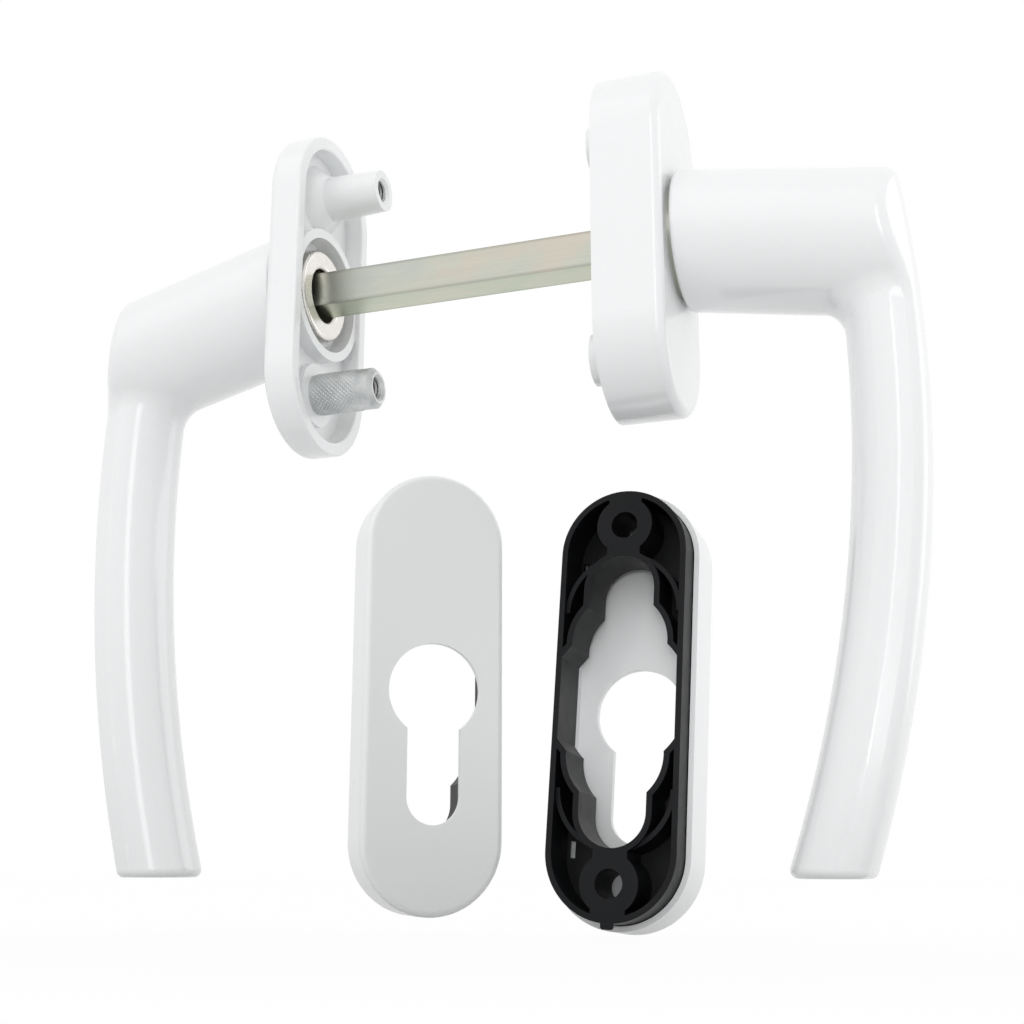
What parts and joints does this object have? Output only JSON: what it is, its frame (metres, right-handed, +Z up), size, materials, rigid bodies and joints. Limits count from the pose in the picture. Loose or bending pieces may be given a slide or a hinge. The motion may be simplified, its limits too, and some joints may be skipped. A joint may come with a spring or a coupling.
{
  "type": "door handle set",
  "caption": "Patio door handle set: white bow levers on oval rosettes joined by a square spindle, with tapped fixing posts and oval escutcheons for a profile cylinder.",
  "frame": {"origin": "on the spindle's axis, halfway through the door, where the lock's follower turns", "axes": "+X along the spindle from the outside handle to the inside handle, +Z up with the levers hanging down"},
  "size_m": [0.1655, 0.0466, 0.1604],
  "materials": {
    "white_coat": "gloss",
    "grey_zinc": "matte",
    "bright_zinc": "satin",
    "yellow_zinc": "satin",
    "bush": "matte",
    "black_moulding": "satin"
  },
  "bodies": {
    "fixed_set": {"outer_rosette": "white_coat", "lower_fixing_sleeve": "grey_zinc", "outer_bearing_bush": "bush", "outer_thrust_ring": "yellow_zinc", "inner_rosette_base": "white_coat", "inner_rosette_cover": "white_coat", "inner_bearing_bush": "bush", "inner_thrust_ring": "yellow_zinc", "outer_escutcheon_cover": "white_coat", "outer_escutcheon_base": "black_moulding", "inner_escutcheon_cover": "white_coat", "inner_escutcheon_base": "black_moulding"},
    "levers": {"outer_lever": "white_coat", "inner_lever": "white_coat", "spindle": "yellow_zinc", "outer_snap_ring": "grey_zinc", "inner_snap_ring": "grey_zinc", "outer_retaining_washer": "bright_zinc", "inner_retaining_washer": "bright_zinc"}
  },
  "joints": [
    {"name": "lever_turn", "type": "hinge", "parent": "fixed_set", "child": "levers", "pos_m": [0, 0, 0], "axis": [1, 0, 0], "range_deg": [-90, 90]}
  ]
}
